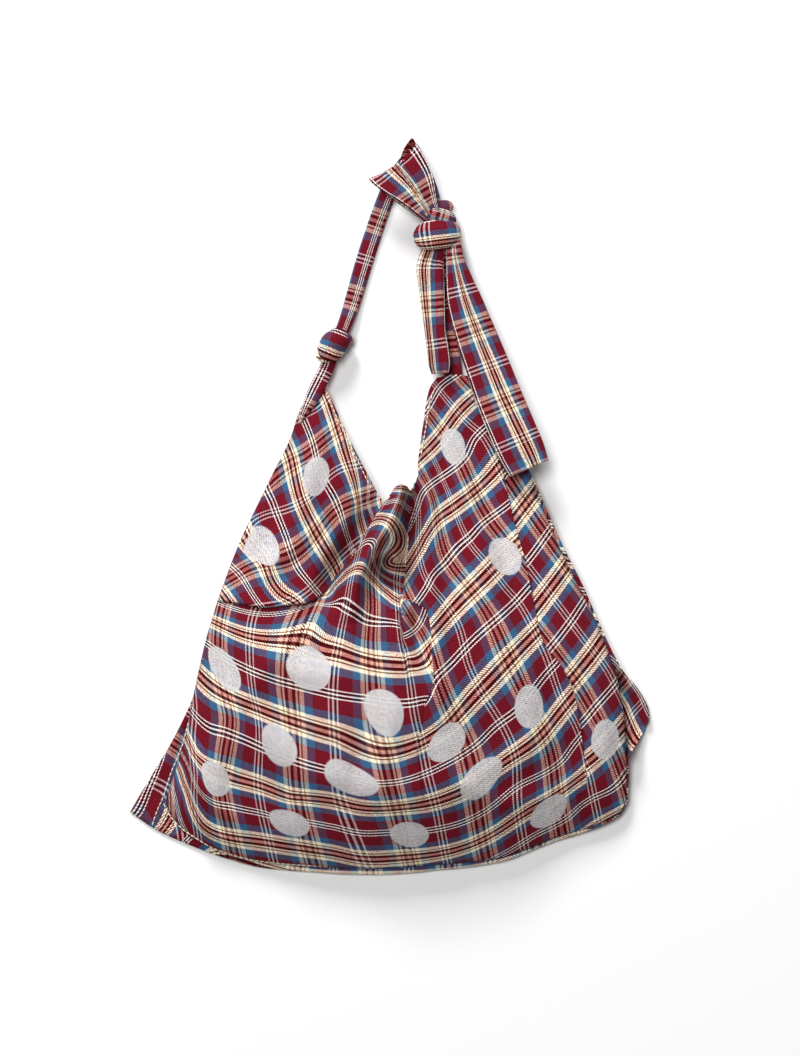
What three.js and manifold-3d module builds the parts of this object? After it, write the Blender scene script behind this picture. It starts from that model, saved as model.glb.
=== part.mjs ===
// A plaid knot bag lying on its back: two body panels and two long ties.
// Units are millimetres. +Z is up, away from the surface, and +Y runs from the bottom seam to the handle.
import * as THREE from 'three';
import { mergeVertices } from 'three/addons/utils/BufferGeometryUtils.js';
import Module from 'manifold-3d';

const wasm = await Module();
wasm.setup();

// Driving dimensions
const clothThickness = 2;
const tieThickness = 3;
const layerGap = 0.5;
const bellyHeight = 52;
const panelGrid = { across: 38, up: 34 };
const backGrid = { across: 20, up: 18 };
const tieStep = 8;
const neckDensity = 0.07;
const mouthDensity = 0.35;
const rimReach = 0.2;

// Front panel edges, each row a point on the edge
const frontLeft = [
  { x: -225, y: -297, z: 7 }, { x: -212, y: -256, z: 10 }, { x: -201, y: -214, z: 15 },
  { x: -192, y: -174, z: 20 }, { x: -184, y: -134, z: 22 }, { x: -168, y: -84, z: 22 },
  { x: -148, y: -32, z: 20 }, { x: -124, y: 18, z: 18 }, { x: -107, y: 51, z: 16 },
  { x: -93, y: 86, z: 14 }, { x: -80, y: 115, z: 12 },
];
const frontRight = [
  { x: 236, y: -293, z: 14 }, { x: 235, y: -239, z: 20 }, { x: 229, y: -184, z: 22 },
  { x: 210, y: -126, z: 22 }, { x: 190, y: -84, z: 22 }, { x: 170, y: -44, z: 21 },
  { x: 155, y: -9, z: 20 }, { x: 141, y: 28, z: 18 }, { x: 120, y: 71, z: 16 },
  { x: 100, y: 104, z: 14 }, { x: 82, y: 129, z: 13 },
];
const frontBottom = [
  { x: -225, y: -297, z: 7 }, { x: -207, y: -324, z: 6 }, { x: -180, y: -342, z: 6 },
  { x: -140, y: -355, z: 6 }, { x: -80, y: -360, z: 6 }, { x: -10, y: -362, z: 6 },
  { x: 50, y: -357, z: 6 }, { x: 110, y: -351, z: 7 }, { x: 155, y: -335, z: 8 },
  { x: 200, y: -320, z: 10 }, { x: 228, y: -307, z: 12 }, { x: 236, y: -293, z: 14 },
];
const frontMouth = [
  { x: -80, y: 115, z: 12 }, { x: -64, y: 117, z: 13 }, { x: -56, y: 101, z: 15 },
  { x: -40, y: 66, z: 20 }, { x: -22, y: 31, z: 27 }, { x: -7, y: 4, z: 34 },
  { x: 0, y: 9, z: 44 }, { x: 8, y: 17, z: 50 }, { x: 16, y: 19, z: 50 },
  { x: 21, y: 15, z: 44 }, { x: 27, y: 24, z: 38 }, { x: 29, y: 42, z: 36 },
  { x: 32, y: 66, z: 32 }, { x: 35, y: 88, z: 27 }, { x: 39, y: 109, z: 21 },
  { x: 46, y: 127, z: 16 }, { x: 64, y: 131, z: 14 }, { x: 82, y: 129, z: 13 },
];

// Back panel edges: its flat corners stand out past the front panel as ears
const backLeft = [
  { x: -260, y: -306, z: 0.5 }, { x: -240, y: -272, z: 1.5 }, { x: -220, y: -239, z: 3 },
  { x: -199, y: -198, z: 8 }, { x: -191, y: -174, z: 12 }, { x: -183, y: -134, z: 15 },
  { x: -167, y: -84, z: 15 }, { x: -147, y: -32, z: 13 }, { x: -123, y: 18, z: 9 },
  { x: -106, y: 51, z: 5 }, { x: -92, y: 86, z: 1.5 }, { x: -79, y: 114, z: 0.5 },
];
const backRight = [
  { x: 237, y: -294, z: 7 }, { x: 238, y: -269, z: 9 }, { x: 239, y: -246, z: 9 },
  { x: 250, y: -230, z: 7 }, { x: 259, y: -207, z: 6 }, { x: 247, y: -182, z: 8 },
  { x: 230, y: -162, z: 10 }, { x: 213, y: -128, z: 12 }, { x: 193, y: -82, z: 13 },
  { x: 173, y: -42, z: 13 }, { x: 157, y: -7, z: 12 }, { x: 142, y: 28, z: 10 },
  { x: 120, y: 71, z: 8 }, { x: 100, y: 104, z: 4 }, { x: 81, y: 128, z: 2 },
];
const backBottom = [
  { x: -260, y: -306, z: 0.5 }, { x: -233, y: -324, z: 1 }, { x: -207, y: -336, z: 1.5 },
  { x: -170, y: -350, z: 2 }, { x: -130, y: -361, z: 2 }, { x: -70, y: -366, z: 2 },
  { x: -10, y: -368, z: 2 }, { x: 50, y: -363, z: 2 }, { x: 110, y: -355, z: 2 },
  { x: 155, y: -338, z: 3 }, { x: 200, y: -323, z: 4 }, { x: 228, y: -309, z: 6 },
  { x: 237, y: -294, z: 7 },
];
const backMouth = [
  { x: -79, y: 114, z: 2 }, { x: -65, y: 113, z: 1 }, { x: -59, y: 98, z: 0 },
  { x: -44, y: 62, z: 0 }, { x: -26, y: 27, z: 0 }, { x: -6, y: -4, z: 0 },
  { x: 14, y: -10, z: 0 }, { x: 27, y: 4, z: 0 }, { x: 35, y: 36, z: 0 },
  { x: 39, y: 66, z: 0 }, { x: 43, y: 88, z: 0 }, { x: 46, y: 107, z: 0 },
  { x: 51, y: 124, z: 1 }, { x: 66, y: 129, z: 2 }, { x: 81, y: 128, z: 2 },
];

// Folds of the front panel. A ridge or trough has its height on the line and fades over its width to
// both sides; a lip lifts the cloth on the left of its line and drops sharply on the right.
const folds = [
  { name: 'neck ridge', kind: 'ridge', height: 24, width: 17,
    line: [[-40, -110], [-36, -72], [-22, -42], [-4, -15], [8, 8], [14, 24]] },
  { name: 'valley under the wing', kind: 'ridge', height: -20, width: 12,
    line: [[-110, -100], [-75, -97], [-54, -80], [-38, -54], [-26, -30], [-12, -4]] },
  { name: 'wing edge', kind: 'lip', height: 9, width: 55,
    line: [[-42, -58], [-58, -78], [-78, -94], [-105, -98], [-135, -90], [-165, -66]] },
  { name: 'valley beside the neck', kind: 'ridge', height: -26, width: 11,
    line: [[18, -100], [12, -78], [14, -50], [20, -20], [22, 10]] },
  { name: 'pocket below the neck', kind: 'ridge', height: -14, width: 13,
    line: [[-6, -62], [4, -74], [16, -84]] },
  { name: 'crease down the middle', kind: 'ridge', height: -8, width: 15,
    line: [[10, -100], [14, -132], [34, -170], [40, -205], [28, -240]] },
  { name: 'edge of the right side', kind: 'lip', height: 8, width: 50,
    line: [[28, 30], [26, -34], [32, -80], [40, -130], [42, -180]].reverse() },
  { name: 'pleat on the right', kind: 'lip', height: 9, width: 60,
    line: [[190, -250], [186, -200], [172, -164], [148, -128], [138, -78], [116, -2], [92, 96]].reverse() },
  { name: 'corner crease', kind: 'lip', height: 8, width: 30,
    line: [[-203, -212], [-201, -250], [-196, -294], [-180, -335]].reverse() },
  { name: 'wing roll', kind: 'ridge', height: 6, width: 16,
    line: [[-60, 80], [-78, 20], [-100, -40], [-140, -85]] },
  { name: 'low swag', kind: 'ridge', height: 5, width: 22,
    line: [[-150, -200], [-90, -255], [0, -285], [90, -270], [160, -215]] },
];

// Ties, each row a station: centre, cloth width and, where given, the width's direction.
// side is the direction of the width seen from above and tip how far it stands on edge, in degrees.
const leftTieStations = [
  { x: -88, y: 92, z: 6.6, width: 14 }, { x: -76, y: 112, z: 6.8, width: 15 },
  { x: -68, y: 128, z: 8, width: 14 }, { x: -62, y: 142, z: 11, width: 13 },
  { x: -55, y: 160, z: 13, width: 14 }, { x: -46, y: 182, z: 10, width: 15 },
  { x: -38, y: 206, z: 5, width: 18 }, { x: -25, y: 247, z: 3, width: 19 },
  { x: -9, y: 295, z: 4, width: 19, side: 160, tip: 8 },
  { x: 3, y: 328, z: 8, width: 18, side: 160, tip: 45 },
  { x: 11, y: 353, z: 11, width: 17, side: 155, tip: 82 },
  { x: 21, y: 366, z: 11.5, width: 16, side: 90, tip: 88 },
  { x: 30, y: 355, z: 11.5, width: 16, side: 30, tip: 82 },
  { x: 37, y: 328, z: 12, width: 15, side: 10, tip: 50 },
  { x: 44, y: 302, z: 14, width: 14, side: 0, tip: 8 },
  { x: 46, y: 285, z: 17, width: 14, side: 0 }, { x: 45, y: 268, z: 18, width: 15, side: 0 },
  { x: 41, y: 252, z: 19, width: 20, side: 0 }, { x: 40, y: 238, z: 21, width: 26, side: 0 },
  { x: 43, y: 206, z: 23, width: 25, side: 3 }, { x: 47, y: 166, z: 25, width: 22, side: 5 },
  { x: 51, y: 137, z: 26, width: 21, side: 20 },
];
const hiddenStrapStations = [
  { x: 62, y: 112, z: 7.5, width: 24 }, { x: 63, y: 132, z: 7.6, width: 18 },
  { x: 61, y: 160, z: 7, width: 16 }, { x: 57, y: 200, z: 6, width: 15 },
  { x: 53, y: 235, z: 8, width: 15 }, { x: 48, y: 262, z: 10, width: 15 },
];
const longTailStations = [
  { x: 56, y: 268, z: 22, width: 12 }, { x: 62, y: 252, z: 25, width: 14 },
  { x: 66, y: 236, z: 26, width: 20 }, { x: 73, y: 212, z: 27, width: 27 },
  { x: 84, y: 178, z: 29, width: 35 }, { x: 99, y: 138, z: 32, width: 42 },
  { x: 114, y: 104, z: 36, width: 45 }, { x: 128, y: 72, z: 40, width: 46 },
  { x: 139, y: 36, z: 40, width: 40 },
];
const bowLoopStations = [
  { x: 46, y: 284, z: 29, width: 16, side: 18 }, { x: 36, y: 298, z: 32, width: 26, side: 30 },
  { x: 22, y: 320, z: 35, width: 44, side: 34 }, { x: 8, y: 338, z: 34, width: 57, side: 35 },
  { x: 3, y: 344, z: 30, width: 58, side: 35 }, { x: 8, y: 339, z: 26, width: 56, side: 35 },
  { x: 22, y: 320, z: 26, width: 40, side: 34 }, { x: 36, y: 300, z: 25, width: 24, side: 30 },
  { x: 46, y: 284, z: 23, width: 16, side: 18 },
];
const leftKnot = { x: -55, y: 162, z: 13.2, across: 16, deep: 12.5, long: 21, turn: -24 };
const bowKnot = [
  { x: 47, y: 269, z: 17.5, across: 21.5, deep: 16, long: 13.5, turn: 4 },
  { x: 51, y: 289, z: 19, across: 15.5, deep: 12, long: 9, turn: 8 },
  { x: 53, y: 300, z: 14, across: 9, deep: 8, long: 8, turn: -10 },
];

// A smooth curve through table rows, read by the share of its length
function edgeCurve(rows) {
  const stations = [0];
  for (let i = 1; i < rows.length; i += 1) {
    const step = Math.hypot(rows[i].x - rows[i - 1].x, rows[i].y - rows[i - 1].y);
    stations.push(stations[i - 1] + step);
  }
  const total = stations[stations.length - 1];
  const slope = (key, i) => {
    const before = Math.max(i - 1, 0);
    const after = Math.min(i + 1, rows.length - 1);
    return (rows[after][key] - rows[before][key]) / (stations[after] - stations[before]);
  };
  const read = (key, share) => {
    const place = THREE.MathUtils.clamp(share, 0, 1) * total;
    let i = 0;
    while (i < rows.length - 2 && stations[i + 1] < place) i += 1;
    const span = stations[i + 1] - stations[i];
    const f = (place - stations[i]) / span;
    const start = rows[i][key];
    const end = rows[i + 1][key];
    const pull = f * (1 - f) * span;
    const blend = f * f * (3 - 2 * f);
    return start + (end - start) * blend + pull * ((1 - f) * slope(key, i) - f * slope(key, i + 1));
  };
  return { read, total };
}

function pointOn(edge, share) {
  return new THREE.Vector3(edge.read('x', share), edge.read('y', share), edge.read('z', share));
}

// The surface spanned by four edges: s runs from left to right, t from the bottom to the mouth
function spannedSurface(left, right, bottom, mouth) {
  const [l, r, b, m] = [left, right, bottom, mouth].map(edgeCurve);
  const corner = (edge, share, weight) => pointOn(edge, share).multiplyScalar(weight);
  return (s, t) => pointOn(b, s).multiplyScalar(1 - t)
    .add(pointOn(m, s).multiplyScalar(t))
    .add(pointOn(l, t).multiplyScalar(1 - s))
    .add(pointOn(r, t).multiplyScalar(s))
    .sub(corner(b, 0, (1 - s) * (1 - t)))
    .sub(corner(b, 1, s * (1 - t)))
    .sub(corner(m, 0, (1 - s) * t))
    .sub(corner(m, 1, s * t));
}

// Where a point stands to a polyline: its distance, signed to the left, and its share of the length
function placeOnLine(line, x, y) {
  let best = { distance: Infinity, side: 1, share: 0 };
  for (let i = 0; i < line.length - 1; i += 1) {
    const [ax, ay] = line[i];
    const [bx, by] = line[i + 1];
    const dx = bx - ax;
    const dy = by - ay;
    const along = THREE.MathUtils.clamp(((x - ax) * dx + (y - ay) * dy) / (dx * dx + dy * dy), 0, 1);
    const distance = Math.hypot(x - ax - along * dx, y - ay - along * dy);
    if (distance < best.distance) {
      const side = dx * (y - ay) - dy * (x - ax) >= 0 ? 1 : -1;
      best = { distance, side, share: (i + along) / (line.length - 1) };
    }
  }
  return best;
}

function foldHeight(x, y) {
  let height = 0;
  for (const fold of folds) {
    const place = placeOnLine(fold.line, x, y);
    const fade = Math.pow(Math.sin(Math.PI * THREE.MathUtils.clamp(place.share, 0.02, 0.98)), 0.6);
    const reach = place.distance / fold.width;
    if (fold.kind === 'ridge') {
      height += fold.height * fade * Math.exp(-reach * reach);
    } else {
      const sharp = place.side > 0 ? Math.exp(-reach) : -0.35 * Math.exp(-4 * reach);
      const soften = THREE.MathUtils.smoothstep(place.distance, 0, 7);
      height += fold.height * fade * sharp * soften;
    }
  }
  return height;
}

// The lightly filled belly: steep at the sides, full at the bottom, and gone at the mouth
function bellyLift(s, t) {
  const across = Math.pow(Math.max(0, 1 - (2 * s - 1) ** 2), 0.62);
  const rise = Math.pow(Math.max(0, 1 - Math.max(0, 1 - t / 0.34) ** 2), 0.6);
  const fall = 1 - THREE.MathUtils.smoothstep(t, 0.34, 1);
  return bellyHeight * across * rise * fall;
}

const frontBase = spannedSurface(frontLeft, frontRight, frontBottom, frontMouth);
function frontPoint(s, t) {
  const point = frontBase(s, t);
  const inside = Math.min(1, 9 * s, 9 * (1 - s), 7 * t);
  const nearMouth = Math.min(1, 0.25 + 4 * (1 - t));
  point.z += bellyLift(s, t) + foldHeight(point.x, point.y) * inside * nearMouth;
  return point;
}

// The back panel lies flat and curls up to the side seams
const backBase = spannedSurface(backLeft, backRight, backBottom, backMouth);
const backLeftEdge = edgeCurve(backLeft);
const backRightEdge = edgeCurve(backRight);
const backBottomEdge = edgeCurve(backBottom);
function backPoint(s, t) {
  const point = backBase(s, t);
  const curl = (distance) => Math.max(0, 1 - distance / rimReach) ** 2;
  const sides = backLeftEdge.read('z', t) * curl(s) + backRightEdge.read('z', t) * curl(1 - s);
  const bottom = backBottomEdge.read('z', s) * curl(t * 2);
  point.z = Math.max(sides, bottom);
  return point;
}

// A closed sheet: the given face, and the other face one cloth thickness away. Its grid is finer towards
// the neck and the mouth, where the folds are.
function sheetGeometry(pointAt, grid, offset) {
  const { across, up } = grid;
  const positions = [];
  const indices = [];
  const row = across + 1;
  const face = row * (up + 1);
  const reach = 0.004;
  const given = [];
  const other = [];
  for (let j = 0; j <= up; j += 1) {
    for (let i = 0; i <= across; i += 1) {
      const s = i / across + neckDensity * Math.sin(2 * Math.PI * i / across);
      const t = j / up * (1 + mouthDensity * (1 - j / up));
      const point = pointAt(s, t);
      const alongS = pointAt(Math.min(1, s + reach), t).sub(pointAt(Math.max(0, s - reach), t));
      const alongT = pointAt(s, Math.min(1, t + reach)).sub(pointAt(s, Math.max(0, t - reach)));
      const normal = alongS.cross(alongT).normalize();
      normal.z = Math.max(normal.z, 0.5);
      given.push(point);
      other.push(point.clone().addScaledVector(normal.normalize(), offset));
    }
  }
  const [upper, lower] = offset < 0 ? [given, other] : [other, given];
  for (const point of [...upper, ...lower]) positions.push(point.x, point.y, point.z);
  for (let j = 0; j < up; j += 1) {
    for (let i = 0; i < across; i += 1) {
      const a = j * row + i;
      const [b, c, d] = [a + 1, a + row + 1, a + row];
      indices.push(a, b, c, a, c, d);
      indices.push(face + a, face + c, face + b, face + a, face + d, face + c);
    }
  }
  const wall = (a, b) => indices.push(a, face + a, face + b, a, face + b, b);
  for (let i = 0; i < across; i += 1) {
    wall(i, i + 1);
    wall(up * row + i + 1, up * row + i);
  }
  for (let j = 0; j < up; j += 1) {
    wall((j + 1) * row, j * row);
    wall(j * row + across, (j + 1) * row + across);
  }
  return meshGeometry(positions, indices);
}

function meshGeometry(positions, indices) {
  const geometry = new THREE.BufferGeometry();
  geometry.setAttribute('position', new THREE.Float32BufferAttribute(positions, 3));
  geometry.setIndex(indices);
  return geometry;
}

// A tie swept through its stations, with a flat six-sided section; extra grows it on every side
function tieGeometry(stations, extra = 0) {
  const edge = edgeCurve(stations.map((row, i) => ({ ...row, ...stationSide(stations, i) })));
  const steps = Math.ceil(edge.total / tieStep);
  const positions = [];
  const indices = [];
  const half = tieThickness / 2 + extra;
  for (let k = 0; k <= steps; k += 1) {
    const share = k / steps;
    const tangent = pointOn(edge, share + 0.002).sub(pointOn(edge, share - 0.002)).normalize();
    const side = new THREE.Vector3(edge.read('sideX', share), edge.read('sideY', share), edge.read('sideZ', share));
    side.addScaledVector(tangent, -side.dot(tangent)).normalize();
    const normal = new THREE.Vector3().crossVectors(tangent, side);
    const wide = edge.read('width', share) / 2 + extra;
    const section = [[wide, 0], [wide - half, half], [half - wide, half],
      [-wide, 0], [half - wide, -half], [wide - half, -half]];
    for (const [a, b] of section) {
      const corner = pointOn(edge, share).addScaledVector(side, a).addScaledVector(normal, b);
      positions.push(corner.x, corner.y, corner.z);
    }
  }
  const sides = 6;
  for (let k = 0; k < steps; k += 1) {
    for (let i = 0; i < sides; i += 1) {
      const a = k * sides + i;
      const b = k * sides + ((i + 1) % sides);
      indices.push(a, b, b + sides, a, b + sides, a + sides);
    }
  }
  for (let i = 1; i < sides - 1; i += 1) {
    const last = steps * sides;
    indices.push(0, i + 1, i, last, last + i, last + i + 1);
  }
  return meshGeometry(positions, indices);
}

// The width's direction at a station: as given, or square to the way the tie runs
function stationSide(stations, i) {
  const before = stations[Math.max(i - 1, 0)];
  const after = stations[Math.min(i + 1, stations.length - 1)];
  const heading = Math.atan2(after.y - before.y, after.x - before.x);
  const { side, tip = 0 } = stations[i];
  const angle = side === undefined ? heading + Math.PI / 2 : THREE.MathUtils.degToRad(side);
  const lift = THREE.MathUtils.degToRad(tip);
  return {
    sideX: Math.cos(angle) * Math.cos(lift),
    sideY: Math.sin(angle) * Math.cos(lift),
    sideZ: Math.sin(lift),
  };
}

// One turn of cloth in a knot: a barrel with a full middle, standing along the tie
function barrelGeometry({ x, y, z, across, deep, long, turn }) {
  const profile = [[0, -1], [0.62, -1], [0.93, -0.6], [1, 0], [0.93, 0.6], [0.62, 1], [0, 1]];
  const barrel = new THREE.LatheGeometry(profile.map(([r, h]) => new THREE.Vector2(r, h)), 18);
  barrel.scale(across, long, deep);
  barrel.rotateZ(THREE.MathUtils.degToRad(turn));
  barrel.translate(x, y, z);
  return barrel;
}

function solid(geometry) {
  geometry.deleteAttribute('normal');
  geometry.deleteAttribute('uv');
  const merged = mergeVertices(geometry, 1e-4);
  const vertProperties = new Float32Array(merged.attributes.position.array);
  const triVerts = new Uint32Array(merged.index.array);
  const mesh = new wasm.Mesh({ numProp: 3, vertProperties, triVerts });
  mesh.merge();
  return new wasm.Manifold(mesh);
}

function geometryOf(body) {
  const { numProp, vertProperties, triVerts } = body.getMesh();
  const positions = [];
  for (let i = 0; i < vertProperties.length; i += numProp) positions.push(...vertProperties.slice(i, i + 3));
  return meshGeometry(positions, Array.from(triVerts));
}

function joined(geometries) {
  return geometries.map(solid).reduce((whole, piece) => whole.add(piece));
}

const leftTie = joined([tieGeometry(leftTieStations), barrelGeometry(leftKnot)]);
const leftTieRoom = solid(tieGeometry(leftTieStations, layerGap));
const rightTie = joined([
  tieGeometry(hiddenStrapStations),
  tieGeometry(longTailStations),
  tieGeometry(bowLoopStations),
  ...bowKnot.map(barrelGeometry),
]).subtract(leftTieRoom);

const flannel = (color) => new THREE.MeshStandardMaterial({ color, roughness: 0.95, metalness: 0 });

function piece(name, geometry, color) {
  const mesh = new THREE.Mesh(geometry, flannel(color));
  mesh.name = name;
  return mesh;
}

const bag = new THREE.Group();
bag.add(
  piece('front_panel', sheetGeometry(frontPoint, panelGrid, -clothThickness), 0x8a2a38),
  piece('back_panel', sheetGeometry(backPoint, backGrid, clothThickness), 0x6b2030),
  piece('left_tie', geometryOf(leftTie), 0x4f7aa6),
  piece('right_tie', geometryOf(rightTie), 0xb98a6a),
);

export default bag;
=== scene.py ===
import math

import bpy
import numpy as np
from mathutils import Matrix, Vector, noise
from mathutils.bvhtree import BVHTree


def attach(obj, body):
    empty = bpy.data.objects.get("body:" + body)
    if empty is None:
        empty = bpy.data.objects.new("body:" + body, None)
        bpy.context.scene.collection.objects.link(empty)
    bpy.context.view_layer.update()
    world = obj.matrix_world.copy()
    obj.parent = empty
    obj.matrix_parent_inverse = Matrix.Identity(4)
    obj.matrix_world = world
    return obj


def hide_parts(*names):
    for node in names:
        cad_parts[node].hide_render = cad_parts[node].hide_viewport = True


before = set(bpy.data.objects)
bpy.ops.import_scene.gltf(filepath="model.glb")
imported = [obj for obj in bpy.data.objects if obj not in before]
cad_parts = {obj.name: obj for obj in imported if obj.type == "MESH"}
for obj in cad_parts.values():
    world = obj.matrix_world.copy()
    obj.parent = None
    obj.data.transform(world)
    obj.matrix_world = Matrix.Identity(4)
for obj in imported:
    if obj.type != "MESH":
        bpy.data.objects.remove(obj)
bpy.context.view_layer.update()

print("frame loaded: a knot bag lying on its back, camera straight above it")

# Shapes are worked out in millimetres, +X right, +Y towards the handle, +Z up, and turned to metres when
# a mesh is made. Tables give places as the camera sees them: right and down from the top left corner of
# the 800 by 1056 view, where one step is one millimetre. viewOrigin is the place over x 0, y 0.
viewOrigin = (390.0, 506.0)
metre = 0.001
aboveAll = 500           # mm, higher than any part of the bag
plaidRepeat = 80.0       # mm from one white triple line to the next, both ways of the cloth
clothThickness = 1.2     # mm, of both panels
foldFade = 0.6           # power that keeps a fold high until close to its ends


# Curves, lines and patches

def fromView(rows):
    rows = np.array(rows, float)
    rows[:, 0] -= viewOrigin[0]
    rows[:, 1] = viewOrigin[1] - rows[:, 1]
    return rows


# A smooth curve through table rows, read at shares of its length
def smoothCurve(rows, shares):
    rows = np.array(rows, float)
    steps = np.linalg.norm(np.diff(rows[:, :2], axis=0), axis=1)
    at = np.concatenate([[0], np.cumsum(steps)])
    before = np.maximum(np.arange(len(rows)) - 1, 0)
    after = np.minimum(np.arange(len(rows)) + 1, len(rows) - 1)
    slopes = (rows[after] - rows[before]) / (at[after] - at[before])[:, None]
    place = np.clip(shares, 0, 1) * at[-1]
    i = np.clip(np.searchsorted(at, place, side="right") - 1, 0, len(rows) - 2)
    span = (at[i + 1] - at[i])[:, None]
    f = (place - at[i])[:, None] / span
    blend = f * f * (3 - 2 * f)
    pull = f * (1 - f) * span
    return rows[i] + (rows[i + 1] - rows[i]) * blend + pull * ((1 - f) * slopes[i] - f * slopes[i + 1])


def fineLine(rows, count=60):
    return smoothCurve(rows, np.linspace(0, 1, count))


def profile(rows, shares):
    rows = np.array(rows, float)
    return np.interp(shares, rows[:, 0], rows[:, 1])


def smoothStep(low, high, value):
    f = np.clip((value - low) / (high - low), 0, 1)
    return f * f * (3 - 2 * f)


# Where a line straight down meets a surface, or None beside it
def surfaceBelow(tree, x, y):
    return tree.ray_cast(Vector((x, y, aboveAll)), Vector((0, 0, -1)))[0]


# How far each point is from a line, which side it is on (1 to the left) and how far along it stands
def placeOnLine(line, points):
    lengths = np.linalg.norm(np.diff(line, axis=0), axis=1)
    at = np.concatenate([[0], np.cumsum(lengths)]) / lengths.sum()
    best = np.full(len(points), np.inf)
    side = np.ones(len(points))
    share = np.zeros(len(points))
    for k in range(len(line) - 1):
        way = line[k + 1] - line[k]
        reach = points - line[k]
        along = np.clip(reach @ way / (way @ way), 0, 1)
        off = reach - along[:, None] * way
        distance = np.hypot(off[:, 0], off[:, 1])
        nearer = distance < best
        turn = way[0] * reach[:, 1] - way[1] * reach[:, 0]
        side = np.where(nearer, np.where(turn >= 0, 1.0, -1.0), side)
        share = np.where(nearer, at[k] + along * (at[k + 1] - at[k]), share)
        best = np.where(nearer, distance, best)
    return best, side, share


# The surface spanned by four rows of points: rows run up, columns run from left to right
def patch(bottom, top, left, right):
    s = np.linspace(0, 1, len(bottom))[None, :, None]
    t = np.linspace(0, 1, len(left))[:, None, None]
    sides = (1 - t) * bottom[None] + t * top[None] + (1 - s) * left[:, None] + s * right[:, None]
    corners = (1 - t) * ((1 - s) * bottom[0] + s * bottom[-1]) + t * ((1 - s) * top[0] + s * top[-1])
    return sides - corners


# Faces between the points of a grid, told row by row from the bottom
def gridFaces(rows, columns, start=0):
    faces = []
    for j in range(rows):
        for i in range(columns):
            corner = start + j * (columns + 1) + i
            faces.append((corner, corner + 1, corner + columns + 2, corner + columns + 1))
    return faces


# The front panel's outline and the edges of its folds

outline = {              # right, down, height; mm
    "leftLower": [(165, 803, 7), (178, 762, 10), (188, 724, 14), (193, 700, 18), (199, 672, 20),
                  (207, 638, 22), (218, 601, 22)],
    "leftUpper": [(218, 601, 22), (230, 568, 21), (242, 538, 20), (258, 505, 19), (275, 470, 18),
                  (290, 440, 16), (299, 413, 14), (310, 391, 12)],
    "bottomBody": [(165, 803, 7), (183, 830, 6), (210, 847, 6), (250, 860, 6), (310, 866, 6),
                   (380, 868, 6), (432, 865, 6)],
    "bottomRight": [(432, 865, 6), (500, 857, 7), (545, 841, 8), (590, 826, 10)],
    "bottomSide": [(590, 826, 10), (618, 813, 12), (626, 799, 14)],
    "right": [(626, 799, 14), (625, 745, 20), (619, 690, 22), (600, 632, 22), (580, 590, 22),
              (560, 550, 21), (545, 515, 20), (531, 478, 18), (510, 435, 16), (490, 402, 14),
              (472, 377, 13)],
    "leftPeak": [(310, 391, 12), (318, 389, 12), (326, 389, 13)],
    "leftMouth": [(326, 389, 13), (334, 405, 15), (350, 440, 20), (368, 475, 27), (377, 493, 32),
                  (383, 503, 34)],
    "neck": [(383, 503, 34), (390, 497, 40), (393, 490, 46), (399, 485, 50), (406, 486, 50),
             (411, 491, 42), (414, 486, 40), (418, 476, 38)],
    "rightMouth": [(418, 476, 38), (418, 462, 36), (421, 440, 32), (424, 420, 27), (427, 400, 21),
                   (431, 386, 17), (437, 378, 16)],
    "rightPeak": [(437, 378, 16), (454, 375, 14), (472, 377, 13)],
}
# The lines along which its four parts meet: wing and body, body and right part, right part and side
foldEdges = {
    "wing": [(218, 601), (240, 603), (262, 607), (285, 605), (310, 602), (324, 593), (334, 579),
             (345, 564), (358, 546), (371, 523), (383, 503)],
    "neck": [(432, 865), (425, 810), (419, 765), (418, 740), (425, 702), (433, 680), (431, 650),
             (430, 625), (425, 607), (415, 602), (404, 597), (405, 575), (408, 545), (409, 520),
             (412, 497), (418, 476)],
    "pleat": [(590, 826), (587, 800), (583, 760), (578, 720), (571, 688), (559, 664), (542, 642),
              (532, 600), (524, 560), (513, 520), (506, 490), (497, 450), (485, 410), (472, 377)],
}

# Where two parts meet: share of the line from its start, then how far the first part stands over the
# second and how far the lower one runs on under the upper; mm, less than 0 where the second is on top
meeting = {
    "wing": {"step": [(0, 2), (0.12, 6), (0.4, 8), (0.52, 5), (0.6, 0), (0.7, -7), (0.9, -13), (1, -3)],
             "tuck": [(0, 0), (0.12, 3), (0.45, 4), (0.6, 0), (0.72, -3), (0.9, -4), (1, 0)]},
    "neck": {"step": [(0, 0), (0.28, 0), (0.36, -3), (0.46, -8), (0.6, -9), (0.64, -4), (0.67, 0), (1, 0)],
             "tuck": [(0, 0), (0.3, 0), (0.4, -2), (0.46, -4), (0.6, -4), (0.66, 0), (1, 0)]},
    "pleat": {"step": [(0, 0), (0.08, 0), (0.16, 4), (0.24, 8), (0.5, 9), (0.75, 7), (0.95, 3), (1, 0)],
              "tuck": [(0, 0), (0.1, 0), (0.2, 3), (0.5, 5), (0.85, 4), (1, 0)]},
}

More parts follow.
